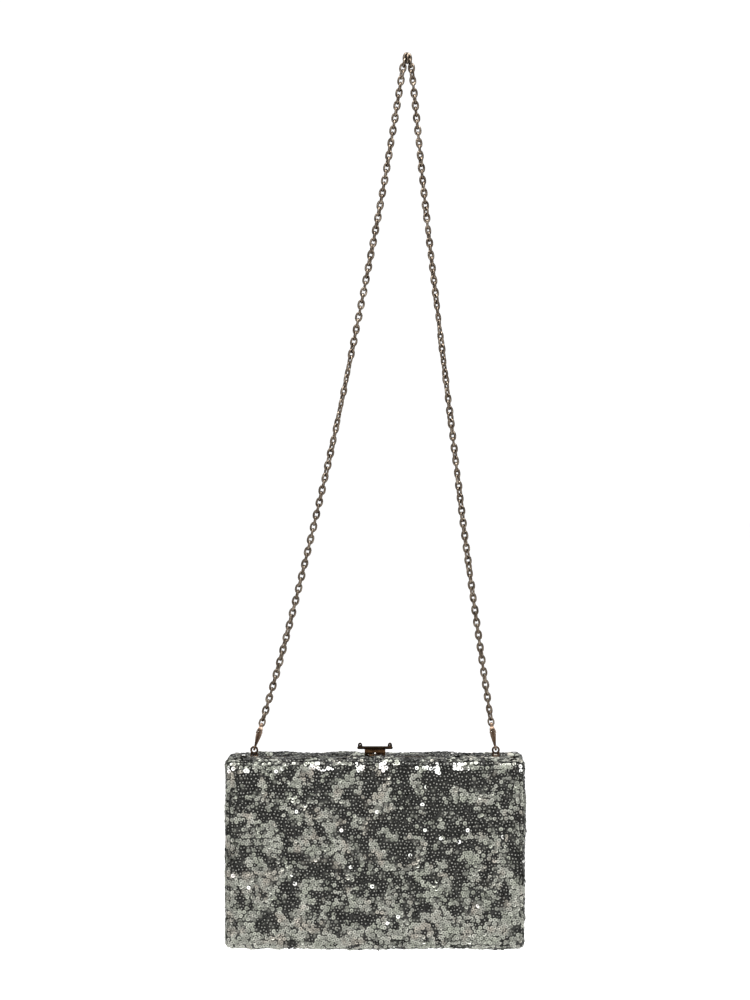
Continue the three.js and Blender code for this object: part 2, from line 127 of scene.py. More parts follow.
def gridFaces(rows, columns, wrapRows=False, wrapColumns=False):
    # Joins each point of a grid to the next in its row and column, and round the end where it wraps.
    row, column = np.meshgrid(
        np.arange(rows if wrapRows else rows - 1),
        np.arange(columns if wrapColumns else columns - 1),
        indexing="ij",
    )
    nextRow = (row + 1) % rows
    nextColumn = (column + 1) % columns
    quads = [row * columns + column, row * columns + nextColumn, nextRow * columns + nextColumn,
             nextRow * columns + column]
    return np.stack(quads, axis=-1).reshape(-1, 4)


def gridPiece(name, points, finish, wrapColumns=False, turned=False):
    # A grid of points measured from the bag's middle, as one surface; turned puts its other side out.
    faces = gridFaces(points.shape[0], points.shape[1], False, wrapColumns)
    if turned:
        faces = faces[:, ::-1]
    return makePiece(name, points.reshape(-1, 3) + bagMiddle, [faces], finish)


def repeated(faces, count, step):
    # The same faces again for each copy, their numbers moved on by step points a copy.
    return (faces[None] + (np.arange(count) * step)[:, None, None]).reshape(-1, faces.shape[1])


def sealed(piece, distance=0.001):
    # Merges points that lie together, then turns every face outwards.
    work = bmesh.new()
    work.from_mesh(piece.data)
    bmesh.ops.remove_doubles(work, verts=work.verts, dist=distance * mm)
    bmesh.ops.dissolve_degenerate(work, edges=work.edges, dist=distance * mm / 10)
    bmesh.ops.recalc_face_normals(work, faces=work.faces)
    work.to_mesh(piece.data)
    work.free()
    return piece


def applied(piece):
    # The mesh becomes what its modifiers make of it.
    ready = bpy.data.meshes.new_from_object(piece.evaluated_get(bpy.context.evaluated_depsgraph_get()))
    old = piece.data
    piece.modifiers.clear()
    piece.data = ready
    bpy.data.meshes.remove(old)
    return piece


def waves(points, seed, count, shortest, longest):
    # Sum of cosine waves in random directions with lengths between shortest and longest; spread about 1.
    random = np.random.default_rng(seed)
    direction = random.normal(size=(count, points.shape[-1]))
    direction /= np.linalg.norm(direction, axis=1)[:, None]
    direction *= (2 * np.pi / random.uniform(shortest, longest, count))[:, None]
    phase = random.uniform(0, 2 * np.pi, count)
    return np.cos(points @ direction.T + phase).sum(-1) * math.sqrt(2 / count)


def unit(vectors):
    # Each vector over its own length.
    return vectors / np.maximum(np.linalg.norm(vectors, axis=-1, keepdims=True), 1e-12)


def powered(values, power):
    # The size of each value raised to a power, its sign kept; a power under 1 squares a circle off.
    return np.sign(values) * np.abs(values) ** power


def sideways(count):
    # The bag's front-to-back direction, once for each point.
    return np.tile([0.0, 1.0, 0.0], (count, 1))


def together(shells):
    # Several shells as one: their points in a row, each one's face numbers moved past the points before it.
    starts = np.cumsum([0] + [len(points) for points, faces in shells])[:-1]
    points = np.concatenate([points for points, faces in shells])
    return points, np.concatenate([shell[1] + start for shell, start in zip(shells, starts)])


def tubeAlong(path, radius, side, sides=10, wrap=False):
    # A circle carried along a path: centre + radius (cos a * side + sin a * other).
    ahead = np.roll(path, -1, 0) - np.roll(path, 1, 0) if wrap else np.gradient(path, axis=0)
    ahead = unit(ahead)
    across = unit(side - (side * ahead).sum(1)[:, None] * ahead)
    other = np.cross(ahead, across)
    angle = np.linspace(0, 2 * np.pi, sides, endpoint=False)
    ring = np.cos(angle)[None, :, None] * across[:, None] + np.sin(angle)[None, :, None] * other[:, None]
    points = path[:, None] + np.broadcast_to(radius, len(path))[:, None, None] * ring
    return points.reshape(-1, 3), gridFaces(len(path), sides, wrap, True)


def eggShape(centre, radii, rows, columns, power=1.0):
    # Ellipsoid: radii times (cos v cos u, cos v sin u, sin v), each raised to a power that squares it off.
    v = np.linspace(-np.pi / 2, np.pi / 2, rows)[:, None]
    u = np.linspace(0, 2 * np.pi, columns, endpoint=False)[None]
    shape = [np.cos(v) * np.cos(u), np.cos(v) * np.sin(u), np.sin(v) + 0 * u]
    shape = np.stack([powered(part, power) for part in shape], axis=-1)
    return (np.array(centre) + shape * np.array(radii)).reshape(-1, 3), gridFaces(rows, columns, False, True)


def tint(code):
    # A colour code as linear red, green, blue and a full alpha.
    parts = np.array([int(code[i:i + 2], 16) for i in (0, 2, 4)]) / 255
    linear = np.where(parts <= 0.04045, parts / 12.92, ((parts + 0.055) / 1.055) ** 2.4)
    return (*[float(part) for part in linear], 1.0)


class Wire:
    # One socket of a node tree. Operators add Math nodes; node() adds any other.
    def __init__(self, tree, socket=None):
        self.tree = tree
        self.socket = socket

    def node(self, kind, settings=None, values=None, out=0):
        made = self.tree.nodes.new(kind)
        for name, setting in (settings or {}).items():
            if name != "stops":
                setattr(made, name, setting)
                continue
            while len(made.color_ramp.elements) < len(setting):
                made.color_ramp.elements.new(1)
            for element, (place, colour) in zip(made.color_ramp.elements, setting):
                element.position = place
                element.color = colour
        for name, value in (values or {}).items():
            if isinstance(value, Wire):
                self.tree.links.new(value.socket, made.inputs[name])
            else:
                made.inputs[name].default_value = value
        return Wire(self.tree, made.outputs[out])

    def maths(self, operation, first, second=0.0, clamped=False):
        settings = {"operation": operation, "use_clamp": clamped}
        return self.node("ShaderNodeMath", settings, {0: first, 1: second})

    def __add__(self, other):
        return self.maths("ADD", self, other)

    def __radd__(self, other):
        return self.maths("ADD", other, self)

    def __sub__(self, other):
        return self.maths("SUBTRACT", self, other)

    def __rsub__(self, other):
        return self.maths("SUBTRACT", other, self)

    def __mul__(self, other):
        return self.maths("MULTIPLY", self, other)

    def __rmul__(self, other):
        return self.maths("MULTIPLY", other, self)

    def clamped(self):
        return self.maths("ADD", self, 0.0, True)

    def ramp(self, stops):
        return self.node("ShaderNodeValToRGB", {"stops": stops}, {"Fac": self})

    def blend(self, first, second):
        return self.node("ShaderNodeMix", {"data_type": "RGBA"}, {0: self, 6: first, 7: second}, 2)

    def times(self, colour):
        settings = {"data_type": "RGBA", "blend_type": "MULTIPLY"}
        return self.node("ShaderNodeMix", settings, {0: 1.0, 6: self, 7: colour}, 2)

    def noise(self, scale, detail=3.0, roughness=0.5):
        values = {"Vector": self, "Scale": scale, "Detail": detail, "Roughness": roughness}
        return self.node("ShaderNodeTexNoise", None, values)

    def cells(self, scale):
        return self.node("ShaderNodeTexVoronoi", None, {"Vector": self, "Scale": scale})

    def stretched(self, x, y, z, turn=0.0):
        values = {"Vector": self, "Scale": (x, y, z), "Rotation": (0, turn, 0)}
        return self.node("ShaderNodeMapping", None, values)

    def bump(self, strength, depth):
        return self.node("ShaderNodeBump", None, {"Strength": strength, "Distance": depth, "Height": self})

    def feed(self, shader, name):
        self.tree.links.new(self.socket, shader.inputs[name])


def startFinish(name, uniform):
    # A material whose even values sit on the shader itself, with the piece's own coordinates to build on.
    made = bpy.data.materials.new(name)
    made.use_nodes = True
    shader = made.node_tree.nodes["Principled BSDF"]
    for socket, value in uniform.items():
        shader.inputs[socket].default_value = value
    place = Wire(made.node_tree).node("ShaderNodeTexCoord", None, None, "Object")
    return made, shader, place


def metalFinish(name, dark, middle, light, rough, grain=900.0, brush=0.35):
    # Metal with a cloudy patina, fine brush lines and a roughness that follows the patina.
    uniform = {"Metallic": 1.0, "Specular IOR Level": 0.5, "Specular Tint": tint("8a8078")}
    made, shader, place = startFinish(name, uniform)
    cloud = place.noise(grain * 0.25, 4.0, 0.6)
    speck = place.noise(grain * 1.6, 2.0, 0.6)
    lines = place.stretched(1, 1, 14).noise(grain * 0.5, 2.0)
    patina = (cloud * 0.65 + speck * 0.2 + lines * 0.15).clamped()
    patina.ramp([(0.3, tint(dark)), (0.5, tint(middle)), (0.72, tint(light))]).feed(shader, "Base Color")
    (rough[0] + (rough[1] - rough[0]) * (cloud * 0.6 + speck * 0.4)).feed(shader, "Roughness")
    (lines * 0.6 + speck * 0.4).bump(brush, 0.00003).feed(shader, "Normal")
    return made


antiqueBrass = metalFinish("antiqueBrass", "342c24", "5d5143", "857763", (0.28, 0.44))
darkBronze = metalFinish("darkBronze", "0d0906", "1c140d", "3a2b1d", (0.22, 0.4))
catchBronze = metalFinish("catchBronze", "291b10", "573f2a", "8d6f50", (0.2, 0.36))
copperBronze = metalFinish("copperBronze", "40322a", "786556", "ab988a", (0.34, 0.48))
eyeletBronze = metalFinish("eyeletBronze", "1d1510", "3c2e25", "77614f", (0.2, 0.36))
chainMetal = metalFinish("chainMetal", "29221b", "5a5046", "948a7d", (0.22, 0.36), 1300.0, 0.2)
brightSteel = metalFinish("brightSteel", "8d8a85", "b5b2ac", "d8d6d1", (0.15, 0.32), 1200.0, 0.2)
print("metals ready")


def sequinFinish():
    # Each sequin's tone picks its colour: near black to pale grey as painted reflection of dark and bright
    # surroundings, and white at tone 1 as a painted glint. Rings from rim to hole darken the rim as painted
    # shade between overlapping sequins and mark the thread. The thread's dot is light on dark sequins,
    # partly a painted glint, and dark on light ones, partly painted shade in the hole.
    uniform = {"Specular IOR Level": 0.6, "Coat Roughness": 0.12}
    made, shader, place = startFinish("sequinFilm", uniform)
    start = Wire(made.node_tree)
    tone = start.node("ShaderNodeAttribute", {"attribute_name": "tone"}, None, "Fac")
    radial = start.node("ShaderNodeAttribute", {"attribute_name": "radial"}, None, "Fac")
    mottle = place.noise(2600.0, 2.0)
    shade = (tone + mottle * 0.14 - 0.07).clamped()
    # Painted reflection: near black to pale grey as the sequins would reflect dark or bright surroundings;
    # the white stop at tone 1 is a painted glint.
    filmAndReflection = shade.ramp([
        (0.0, tint("0c0c0b")),
        (0.22, tint("1d1d1b")),
        (0.45, tint("464642")),
        (0.7, tint("8d8e86")),
        (0.86, tint("a4a49c")),
        (1.0, tint("fbfbf9")),
    ])
    drift = [(0.38, tint("f5f8f2")), (0.55, tint("fdfdfc")), (0.68, tint("fdf4f0"))]
    filmAndReflection = filmAndReflection.times(place.noise(90.0, 2.0).ramp(drift))
    # Painted shade: each sequin's rim is darkened where the overlapping sequins would shade it.
    rim = (radial * 0.5).ramp([(0.0, tint("000000")), (0.12, tint("ffffff"))])
    filmAndReflection = rim.blend(filmAndReflection.times(tint("74746f")), filmAndReflection)
    # The dot at the hole is the thread, lighter on dark sequins, partly a painted glint, and darker on light
    # ones, partly painted shade in the hole.
    dot = (radial * 0.5).ramp([(0.5, tint("000000")), (0.6, tint("ffffff"))])
    thread = shade.ramp([
        (0.0, tint("8a8a84")),
        (0.4, tint("74746e")),
        (0.6, tint("4a4a46")),
        (1.0, tint("30302e")),
    ])
    dot.blend(filmAndReflection, thread).feed(shader, "Base Color")
    (0.8 - dot * 0.5).feed(shader, "Metallic")
    (0.3 + mottle * 0.18 + dot * 0.3).feed(shader, "Roughness")
    mottle.bump(0.15, 0.00004).feed(shader, "Normal")
    return made


def clothFinish(name, dark, light, pitch, uniform, rough=(0.5, 0.7), depth=0.00006):
    # Crossed thread waves for the weave, with slow colour drift and a bump of the same threads.
    made, shader, place = startFinish(name, uniform)
    settings = {"wave_type": "BANDS", "bands_direction": "DIAGONAL"}
    values = {"Vector": place, "Scale": pitch, "Distortion": 0.6}
    warp = place.node("ShaderNodeTexWave", settings, values, "Fac")
    turned = place.stretched(1, 1, -1)
    weft = place.node("ShaderNodeTexWave", settings, {"Vector": turned, "Scale": pitch * 0.8}, "Fac")
    threads = warp * 0.6 + weft * 0.4
    drift = place.noise(45.0, 4.0)
    shade = (threads * 0.45 + drift * 0.55).clamped()
    shade.ramp([(0.25, tint(dark)), (0.75, tint(light))]).feed(shader, "Base Color")
    (rough[0] + (rough[1] - rough[0]) * drift).feed(shader, "Roughness")
    threads.bump(0.4, depth).feed(shader, "Normal")
    return made


def boardFinish():
    # Pressed board: long flattened fibres over a mottled ground.
    made, shader, place = startFinish("board", {"Specular IOR Level": 0.2})
    fibres = place.stretched(1, 1, 6, 0.5).noise(900.0, 4.0, 0.65)
    ground = place.noise(120.0, 3.0)
    shade = fibres * 0.6 + ground * 0.4
    shade.ramp([(0.3, tint("6f675b")), (0.7, tint("a79d8c"))]).feed(shader, "Base Color")
    (0.8 + fibres * 0.15).feed(shader, "Roughness")
    fibres.bump(0.4, 0.0001).feed(shader, "Normal")
    return made


def foamFinish():
    # Foam: small open cells with darker pits.
    made, shader, place = startFinish("foam", {"Specular IOR Level": 0.2})
    cells = place.cells(1500.0)
    shade = cells * 0.8 + place.noise(200.0) * 0.3
    shade.ramp([(0.1, tint("e6e1d3")), (0.8, tint("b9b29f"))]).feed(shader, "Base Color")
    (0.85 + cells * 0.1).feed(shader, "Roughness")
    cells.bump(0.6, 0.0002).feed(shader, "Normal")
    return made


sequinFilm = sequinFinish()
groundCloth = clothFinish("groundCloth", "1d1d1c", "3b3b38", 420.0, {"Specular IOR Level": 0.2})
satin = clothFinish(
    "liningSatin", "17161a", "35333a", 900.0,
    {"Sheen Weight": 0.35, "Sheen Roughness": 0.35, "Specular IOR Level": 0.6}, (0.3, 0.42), 0.00003)
thread = clothFinish("sewingThread", "2a292d", "4a484e", 1500.0, {"Specular IOR Level": 0.3})
board = boardFinish()
foam = foamFinish()
print("fabrics ready")


# The route is the strap's own, end ring to end ring, in millimetres of x and z.
strap = {
    "route": [
        [-97, -447.4], [-84, -402], [-66, -330], [-49, -256], [-33, -178], [-18, -100], [-9.5, -50],
        [-5, -22], [-3, -9], [-2.2, -2.5], [0, 0], [2.2, -2.5], [2.8, -9], [4.2, -22],
        [7, -50], [12, -100], [21, -178], [30.5, -256], [39.5, -330], [49.5, -402], [56, -446.9],
    ],
    "leftTop": 8,
    "rightTop": 12,
    "linkLength": 7.55,
    "linkWidth": 5.3,
    "wire": 1.65,
    "pitch": 4.25,
    "squareness": (1.0, 0.9),
    "twistAt": -243.0,
    "twistReach": 42.0,
    "twist": 48.0,
    "loose": 15.0,
    "tip": 0.035,
    "seeds": (5, 6),
    "rightTwist": 0.25,
    "upperLinks": [
        [-1.9, -5.2, 14.0, 78.0], [-0.75, -1.9, 11.0, 30.0], [0.15, -2.6, 3.0, 94.0],
        [0.85, -2.1, -12.0, -34.0], [1.9, -5.4, -12.0, 104.0],
    ],
}


def smoothRoute(points, perSpan=40):
    # Catmull-Rom: each span is a cubic whose slope at a point is half the step between its neighbours.
    padded = np.vstack([2 * points[0] - points[1], points, 2 * points[-1] - points[-2]])
    t = np.linspace(0, 1, perSpan, endpoint=False)[None, :, None]
    a, b, c, d = (padded[i:len(padded) - 3 + i][:, None] for i in range(4))
    curve = (2 * a - 5 * b + 4 * c - d) * t ** 2
    spans = 0.5 * (2 * b + (c - a) * t + curve + (3 * b - a - 3 * c + d) * t ** 3)
    return np.vstack([spans.reshape(-1, points.shape[1]), points[-1]])


def evenly(line, count):
    # The line again as count equal steps along its length.
    along = np.concatenate([[0], np.cumsum(np.linalg.norm(np.diff(line, axis=0), axis=1))])
    at = np.linspace(0, along[-1], count + 1)
    return np.stack([np.interp(at, along, line[:, k]) for k in range(line.shape[1])], axis=1)


def linkShape(length, width, wire, squareness, around=14, sides=6):
    # A circle of wire carried round an oval, long way up, each axis raised to its own power.
    powerX, powerZ = squareness
    u = np.linspace(0, 2 * np.pi, around, endpoint=False)
    x = powered(np.cos(u), powerX) * (width - wire) / 2
    z = powered(np.sin(u), powerZ) * (length - wire) / 2
    path = np.stack([x, 0 * u, z], axis=1)
    return tubeAlong(path, wire / 2, sideways(around), sides, True)


def placedLinks(shape, centres, along, twist):
    # Link long axis on the strap's direction, turned about it by the twist; 0 lies in the strap's plane.
    points, faces = shape
    up = unit(along)
    flat = np.stack([up[:, 2], 0 * up[:, 0], -up[:, 0]], axis=1)
    deep = sideways(len(up))
    c, s = np.cos(twist)[:, None], np.sin(twist)[:, None]
    axes = np.stack([c * flat + s * deep, c * deep - s * flat, up], axis=1)
    placed = centres[:, None] + np.einsum("pk,nkx->npx", points, axes)
    return placed.reshape(-1, 3), repeated(faces, len(centres), len(points))


def strandLinks(line, seed, extra):
    # Link centres from the end ring up, each a quarter turn on from the last, with a slow twist and slack.
    length = np.linalg.norm(np.diff(line, axis=0), axis=1).sum()
    count = round(length / strap["pitch"])
    at = evenly(line, count)
    place = np.stack([at[:, 0], np.zeros(len(at)), at[:, 1]], axis=1)
    along = np.gradient(place, axis=0)
    step = np.arange(count, -1, -1)
    drift = (count % 2) * (np.pi / 2) * step / count
    bend = np.exp(-((place[:, 2] - strap["twistAt"]) / strap["twistReach"]) ** 2)
    random = np.random.default_rng(seed)
    loose = random.normal(0, math.radians(strap["loose"]), count + 1)
    twist = step * np.pi / 2 + drift + math.radians(strap["twist"]) * bend * extra + loose
    tip = random.normal(0, strap["tip"], count + 1)
    along = along + tip[:, None] * np.linalg.norm(along, axis=1)[:, None] * np.array([0.6, 1.0, 0.0])
    return place, along, twist


def middleOf(name):
    # The middle of a node's box.
    low, high = corners(name)
    return (low + high) / 2


def makeChain():
    # Both strands, each from its end ring up, with five links laid across the top between them.
    route = np.array(strap["route"], float)
    leftRoute = np.vstack([middleOf("left_end_ring")[[0, 2]], route[1:strap["leftTop"] + 1]])
    rightRoute = np.vstack([middleOf("right_end_ring")[[0, 2]], route[-2:strap["rightTop"] - 1:-1]])
    left = strandLinks(smoothRoute(leftRoute), strap["seeds"][0], 1.0)
    right = strandLinks(smoothRoute(rightRoute), strap["seeds"][1], strap["rightTwist"])
    upper = np.array(strap["upperLinks"])
    lean = np.radians(upper[:, 2])
    upperPlace = np.stack([upper[:, 0], 0 * lean, upper[:, 1]], axis=1)
    upperAlong = np.stack([np.sin(lean), 0 * lean, np.cos(lean)], axis=1)
    parts = [
        (left[0][1:], left[1][1:], left[2][1:]),
        (upperPlace, upperAlong, np.radians(upper[:, 3])),
        (right[0][1:], right[1][1:], right[2][1:]),
    ]
    centres, along, twist = (np.concatenate([part[i] for part in parts]) for i in range(3))
    shape = linkShape(strap["linkLength"], strap["linkWidth"], strap["wire"], strap["squareness"])
    points, faces = placedLinks(shape, centres, along, twist)
    chain = makePiece("chain_links", points, [faces], chainMetal)
    line = np.vstack([left[0], upperPlace, right[0][::-1]])
    return chain, line * mm


chain, chainLine = makeChain()
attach(chain, "strap")
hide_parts("chain_strap")


endLink = {"length": 6.6, "width": 4.9, "wire": 1.3, "squareness": (0.95, 0.9), "around": 28, "sides": 10}
eyeletWire = 0.42  # the solid eyelet's own wire, half its thickness
hook = {
    "voxel": 0.14,
    "gateVoxel": 0.11,
    "passes": 4,
    "left": math.radians(16.3),
    "right": math.radians(-9.6),
    "thin": 0.72,
    "swell": 1.5,
    "swellAt": 9.8,
    "swellReach": 3.9,
    "solid": {"thin": 0.8, "swell": 1.3, "from": 0.5, "span": 14.3, "power": 1.5},
}


def rider(piece, node):
    # The piece stands for a node and moves with the same body.
    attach(piece, nodes[node]["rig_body"])
    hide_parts(node)
    return piece


def mergedCopy(node, name, finish):
    # A copy of a node's mesh with its loose triangles merged.
    mesh = nodes[node].data.copy()
    if "custom_normal" in mesh.attributes:
        mesh.attributes.remove(mesh.attributes["custom_normal"])
    mesh.materials.clear()
    mesh.materials.append(finish)
    work = bmesh.new()
    work.from_mesh(mesh)
    bmesh.ops.remove_doubles(work, verts=work.verts, dist=0.002 * mm)
    bmesh.ops.dissolve_limit(work, angle_limit=math.radians(1), verts=work.verts, edges=work.edges)
    work.to_mesh(mesh)
    work.free()
    made = bpy.data.objects.new(name, mesh)
    scene.collection.objects.link(made)
    return made


def lensShaped(piece, side):
    # Across the strand, the solid's thickness, thin + swell * sine raised to a power, becomes
    # thin + swell * exp(-((height - middle) / reach) squared).
    lean = hook[side]
    up = np.array([math.sin(lean), 0.0, math.cos(lean)])
    across = np.array([math.cos(lean), 0.0, -math.sin(lean)])
    place = np.zeros(len(piece.data.vertices) * 3, np.float32)
    piece.data.vertices.foreach_get("co", place)
    place = place.reshape(-1, 3) / mm
    low, high = corners(f"{side}_eyelet")
    pivot = np.array([(low[0] + high[0]) / 2, 0.0, high[2] - eyeletWire])
    away = (place - pivot) @ across
    centre = (away.max() + away.min()) / 2
    height = (place - pivot) @ up
    solid = hook["solid"]
    share = np.clip((height - solid["from"]) / solid["span"], 0, 1)
    was = solid["thin"] + solid["swell"] * np.sin(np.pi * share) ** solid["power"]
    now = hook["thin"] + hook["swell"] * np.exp(-((height - hook["swellAt"]) / hook["swellReach"]) ** 2)
    place = place + ((away - centre) * (now / was - 1))[:, None] * across
    piece.data.vertices.foreach_set("co", (place * mm).astype(np.float32).ravel())
    return piece


def cast(piece, voxel, passes):
    # Voxel remesh, then smoothing, so that edges round over as on a casting.
    fuse = piece.modifiers.new("fuse", "REMESH")
    fuse.mode = "VOXEL"
    fuse.voxel_size = voxel * mm
    fuse.use_smooth_shade = True
    relax = piece.modifiers.new("relax", "SMOOTH")
    relax.factor = 0.5
    relax.iterations = passes
    return applied(piece)


def makeEndLink(side):
    # One oval link, upright along its strand. The settings are in the order that linkShape takes them.
    shape = linkShape(*endLink.values())
    lean = hook[side]
    along = np.array([[math.sin(lean), 0.0, math.cos(lean)]])
    centre = middleOf(f"{side}_end_ring")[None]
    placed, faces = placedLinks(shape, centre, along, np.zeros(1))
    piece = makePiece(f"{side}_end_link", placed, [faces], chainMetal)
    return rider(piece, f"{side}_end_ring")


for side in ("left", "right"):
    makeEndLink(side)
    body = lensShaped(mergedCopy(f"{side}_snap_hook", f"{side}_hook_body", copperBronze), side)
    body = cast(body, hook["voxel"], hook["passes"])
    rider(body, f"{side}_snap_hook")
    gate = mergedCopy(f"{side}_gate", f"{side}_hook_gate", eyeletBronze)
    gate = cast(gate, hook["gateVoxel"], hook["passes"])
    rider(gate, f"{side}_gate")
    leaf = mergedCopy(f"{side}_gate_spring", f"{side}_spring_leaf", brightSteel)
    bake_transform(leaf)
    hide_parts(f"{side}_gate_spring")
print("hooks ready")


def outline(turn, inset, size):
    # A rounded rectangle. turn 0 to 1 goes once round; half sizes lose the inset and the corner shrinks.
    wide, high, corner = size
    straight = [2 * (high - corner), 2 * (wide - corner)]
    arc = corner * np.pi / 2
    steps = np.cumsum([0, straight[0], arc, straight[1], arc, straight[0], arc, straight[1], arc])
    at = (turn % 1.0) * steps[-1]
    sideX = np.interp(at, steps, [1, 1, 1, -1, -1, -1, -1, 1, 1])
    sideZ = np.interp(at, steps, [-1, 1, 1, 1, 1, -1, -1, -1, -1])
    angle = np.interp(at, steps, np.radians([0, 0, 90, 90, 180, 180, 270, 270, 360]))
    radius = corner * (1 - inset / high)
    x = sideX * (wide - inset - radius) + radius * np.cos(angle)
    z = sideZ * (high - inset - radius) + radius * np.sin(angle)
    return x, z, np.cos(angle), np.sin(angle)


def outlineTurns(size, perCorner, spacing):
    # Steps round the outline: even along the sides, close together round the corners.
    wide, high, corner = size
    arc = corner * np.pi / 2
    lengths = [2 * (high - corner), arc, 2 * (wide - corner), arc] * 2
    onSide = [max(2, round(length / spacing)) for length in lengths]
    counts = [perCorner if i % 2 else count for i, count in enumerate(onSide)]
    starts = np.concatenate([[0], np.cumsum(lengths)])
    pieces = [np.linspace(starts[i], starts[i + 1], counts[i], endpoint=False) for i in range(8)]
    return np.concatenate(pieces) / starts[-1]


# Waves are given as seed, count, shortest and longest.
cover = {
    "size": (bag["halfWidth"] - 1.2, bag["halfHeight"] - 1.2, 3.6),
    "liningCorner": 7.0,
    "halfDepth": bag["halfDepth"] - 1.2,
    "edge": 5.2,
    "crown": 1.1,
    "bulge": 0.25,
    "lump": 0.36,
    "lumpWaves": (31, 26, 14.0, 42.0),
    "lumpFloor": 0.9,
    "lumpRise": 3,
    "perCorner": 8,
    "turnSpacing": 4.0,
    "steps": (6, 8, 22),
}
crease = {"depth": 0.12, "waves": (61, 16, 9, 40), "above": 6}


def swollen(flat, normal):
    # Pushes the hard outline out along its normal: a crown over the face, a swell on the walls, and lumps.
    wide, high, corner = cover["size"]
    facing = normal[..., 1] ** 2
    crown = np.clip(1 - (flat[..., 0] / wide) ** 2, 0, 1) * np.clip(1 - (flat[..., 2] / high) ** 2, 0, 1)
    wallTop = cover["halfDepth"] - cover["edge"]
    up = np.clip((np.abs(flat[..., 1]) - bag["start"]) / (wallTop - bag["start"]), 0, 1)
    swell = cover["bulge"] * np.sin(np.pi * up) * (1 - facing)
    rise = np.clip((np.abs(flat[..., 1]) - bag["start"]) / cover["lumpRise"], 0, 1)
    lumps = cover["lump"] * np.maximum(cover["lumpFloor"] + waves(flat, *cover["lumpWaves"]), 0) * rise
    return flat + normal * (cover["crown"] * crown * facing + swell + lumps)[..., None]


def profile(side, face, edge, wallSteps, arcSteps, faceSteps):
    # Up the wall, a quarter circle round the edge, then across the face to its middle line.
    top = cover["halfDepth"] - face - edge
    lift = np.linspace(0, np.pi / 2, arcSteps + 1)
    share = np.linspace(0, 1, faceSteps + 1)[1:]
    faceInset = side + edge + (cover["size"][1] - side - edge) * share
    inset = np.concatenate([np.full(wallSteps, side), side + edge - edge * np.cos(lift), faceInset])
    depth = np.concatenate([
        np.linspace(bag["start"], top, wallSteps, endpoint=False),
        top + edge * np.sin(lift),
        np.full(faceSteps, cover["halfDepth"] - face),
    ])
    lifts = np.concatenate([np.zeros(wallSteps), lift, np.full(faceSteps, np.pi / 2)])
    return inset, depth, lifts


def skin(turn, inset, depth, lift, outward, size):
    # Points on the hard outline and their outward normals; outward is -1 for the front half, 1 for the rear.
    x, z, outX, outZ = outline(turn, inset, size)
    flat = np.stack([x, outward * (depth + 0 * x), z], axis=-1)
    cosine = np.cos(lift) + 0 * x
    normal = np.stack([cosine * outX, outward * (np.sin(lift) + 0 * x), cosine * outZ], axis=-1)
    return flat, normal


def trayPiece(name, outward, outside, inside, finish, swell):
    # Two skins, one inside the other, joined round the rim: the inner one first, from its middle line out.
    # A cover is swollen, a lining creased.
    size = cover["size"] if swell else (*cover["size"][:2], cover["liningCorner"])
    turns = outlineTurns(size, cover["perCorner"], cover["turnSpacing"])[None]
    rows = []
    for layer, flip in ((inside, True), (outside, False)):
        inset, depth, lift = profile(layer["side"], layer["face"], layer["edge"], *cover["steps"])
        flat, normal = skin(turns, inset[:, None], depth[:, None], lift[:, None], outward, size)
        if swell:
            flat = swollen(flat, normal)
        else:
            creases = crease["depth"] * waves(flat, *crease["waves"]) * (depth[:, None] > crease["above"])
            flat = flat - normal * np.abs(creases)[..., None]
        rows.append(flat[::-1] if flip else flat)
    return sealed(gridPiece(name, np.concatenate(rows), finish, True), 0.02)


halves = {
    "front": {"outward": -1, "body": "front_half"},
    "rear": {"outward": 1, "body": "rear_half"},
}
layers = {
    "cover": ({"side": 0.0, "face": 0.0, "edge": 5.2}, {"side": 0.18, "face": 0.2, "edge": 5.0}),
    "lining": ({"side": 2.15, "face": 4.45, "edge": 3.4}, {"side": 2.8, "face": 5.1, "edge": 3.0}),
}
padding = {
    "halfWidth": 91.0, "halfHeight": 54.5, "corner": 6.0, "near": 19.7, "far": 21.4, "sink": 0.35,
    "rings": 9, "perCorner": 6, "turnSpacing": 7.0,
}


def makePadding(name, outward):
    # A thin pad: rings from the middle of the back, round a half circle of edge, to the middle of the front.
    size = (padding["halfWidth"], padding["halfHeight"], padding["corner"])
    turns = outlineTurns(size, padding["perCorner"], padding["turnSpacing"])[None]
    half = (padding["far"] - padding["near"]) / 2
    rings = padding["rings"]
    inset = np.linspace(padding["halfHeight"], half, rings)
    edge = np.linspace(0, np.pi, 7)[1:-1]
    insets = np.concatenate([inset, half - half * np.sin(edge), inset[::-1]])
    depths = np.concatenate([np.full(rings, -half), -half * np.cos(edge), np.full(rings, half)])
    x, z = outline(turns, insets[:, None], size)[:2]
    depth = (padding["near"] + padding["far"]) / 2 + depths[:, None] + 0 * x
    depth = depth - padding["sink"] * (x / size[0]) ** 4 * (depths[:, None] > 0)
    points = np.stack([x, outward * depth, z], axis=-1)
    return sealed(gridPiece(name, points, foam, True), 0.02)


for name, half in halves.items():
    outside, inside = layers["cover"]
    cloth = trayPiece(f"{name}_cover_cloth", half["outward"], outside, inside, groundCloth, True)
    rider(cloth, f"{name}_cover")
    outside, inside = layers["lining"]
    lining = trayPiece(f"{name}_lining_satin", half["outward"], outside, inside, satin, False)
    rider(lining, f"{name}_lining")
    pad = rider(makePadding(f"{name}_foam_pad", half["outward"]), f"{name}_padding")
print("covers and linings ready")


